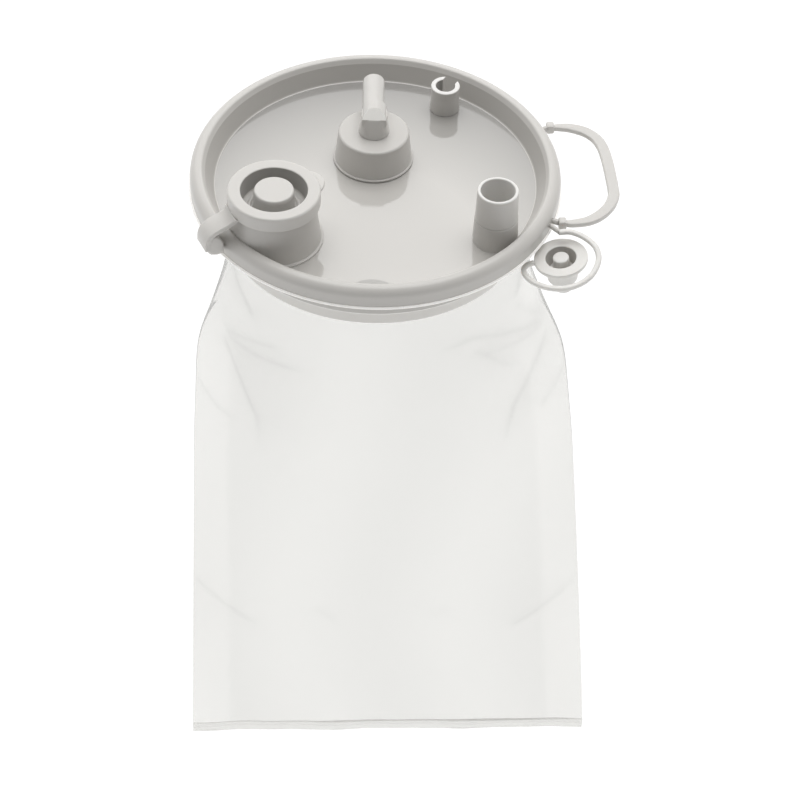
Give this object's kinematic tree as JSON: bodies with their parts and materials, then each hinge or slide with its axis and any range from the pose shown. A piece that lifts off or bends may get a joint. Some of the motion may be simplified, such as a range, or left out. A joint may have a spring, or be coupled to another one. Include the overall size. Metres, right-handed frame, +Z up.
{
  "type": "suction canister liner",
  "caption": "Disposable liner for a suction canister: a dished lid with a capped pour port, vacuum elbow, patient port and carrying loop over a film collection bag.",
  "frame": {"origin": "on the lid's axis at the height of the rim's crest", "axes": "+Z up along the lid's axis, out of the canister; +X towards the carrying loop; -Y towards the pour port and the patient port"},
  "size_m": [0.2, 0.1624, 0.3979],
  "materials": {
    "lid_plastic": "moulded, slightly glossy",
    "weld_ring_plastic": "moulded, slightly glossy",
    "bag_film_plastic": "clear to milky film",
    "bag_bottom_seam_plastic": "welded film",
    "filter_cover_plastic": "moulded, slightly glossy",
    "filter_disc_plastic": "white porous filter",
    "filter_grid_plastic": "moulded, slightly glossy",
    "elbow_seal_plastic": "smooth ring",
    "pour_port_plastic": "moulded, slightly glossy",
    "patient_port_plastic": "moulded, slightly glossy",
    "patient_sleeve_plastic": "moulded, slightly glossy",
    "valve_seat_plastic": "moulded, slightly glossy",
    "tube_holder_plastic": "moulded, slightly glossy",
    "cap_strap_plastic": "moulded, satin",
    "cap_strap_clip_plastic": "moulded, satin",
    "handle_lug_back_plastic": "moulded, slightly glossy",
    "handle_lug_front_plastic": "moulded, slightly glossy",
    "vacuum_elbow_plastic": "moulded, slightly glossy",
    "pour_cap_plastic": "moulded, satin",
    "pour_cap_knob_plastic": "moulded, satin",
    "pour_cap_tab_plastic": "moulded, satin",
    "handle_strap_plastic": "moulded, satin",
    "handle_end_back_plastic": "moulded, satin",
    "handle_end_front_plastic": "moulded, satin",
    "patient_cap_plastic": "moulded, satin",
    "patient_cap_knob_plastic": "moulded, satin",
    "cap_tether_plastic": "moulded, satin",
    "valve_flap_plastic": "thin translucent flap"
  },
  "bodies": {
    "lid_body": {"lid": "lid_plastic", "weld_ring": "weld_ring_plastic", "bag_film": "bag_film_plastic", "bag_bottom_seam": "bag_bottom_seam_plastic", "filter_cover": "filter_cover_plastic", "filter_disc": "filter_disc_plastic", "filter_grid": "filter_grid_plastic", "elbow_seal": "elbow_seal_plastic", "pour_port": "pour_port_plastic", "patient_port": "patient_port_plastic", "patient_sleeve": "patient_sleeve_plastic", "valve_seat": "valve_seat_plastic", "tube_holder": "tube_holder_plastic", "cap_strap": "cap_strap_plastic", "cap_strap_clip": "cap_strap_clip_plastic", "handle_lug_back": "handle_lug_back_plastic", "handle_lug_front": "handle_lug_front_plastic"},
    "elbow": {"vacuum_elbow": "vacuum_elbow_plastic"},
    "pour_cap_body": {"pour_cap": "pour_cap_plastic", "pour_cap_knob": "pour_cap_knob_plastic", "pour_cap_tab": "pour_cap_tab_plastic"},
    "handle": {"handle_strap": "handle_strap_plastic", "handle_end_back": "handle_end_back_plastic", "handle_end_front": "handle_end_front_plastic"},
    "patient_cap_body": {"patient_cap": "patient_cap_plastic", "patient_cap_knob": "patient_cap_knob_plastic", "cap_tether": "cap_tether_plastic"},
    "valve": {"valve_flap": "valve_flap_plastic"}
  },
  "joints": [
    {"name": "elbow_swivel", "type": "hinge", "parent": "lid_body", "child": "elbow", "pos_m": [-0.0012, 0.0162, 0.0109], "axis": [0, 0, 1], "continuous": true},
    {"name": "pour_cap_hinge", "type": "hinge", "parent": "lid_body", "child": "pour_cap_body", "pos_m": [-0.06057, -0.04601, 0.0125], "axis": [0.4384, -0.8988, 0], "range_deg": [0, 140]},
    {"name": "handle_swing", "type": "hinge", "parent": "lid_body", "child": "handle", "pos_m": [0.0756, 0.036, -0.006], "axis": [0.0555, -0.9985, 0], "range_deg": [-80, 100]},
    {"name": "patient_cap_swing", "type": "hinge", "parent": "lid_body", "child": "patient_cap_body", "pos_m": [0.0774, -0.0334, -0.0054], "axis": [0.0555, -0.9985, 0], "range_deg": [0, 70]},
    {"name": "valve_flap_swing", "type": "hinge", "parent": "lid_body", "child": "valve", "pos_m": [0.04043, -0.0313, -0.018], "axis": [0, 1, 0], "range_deg": [0, 60]}
  ]
}
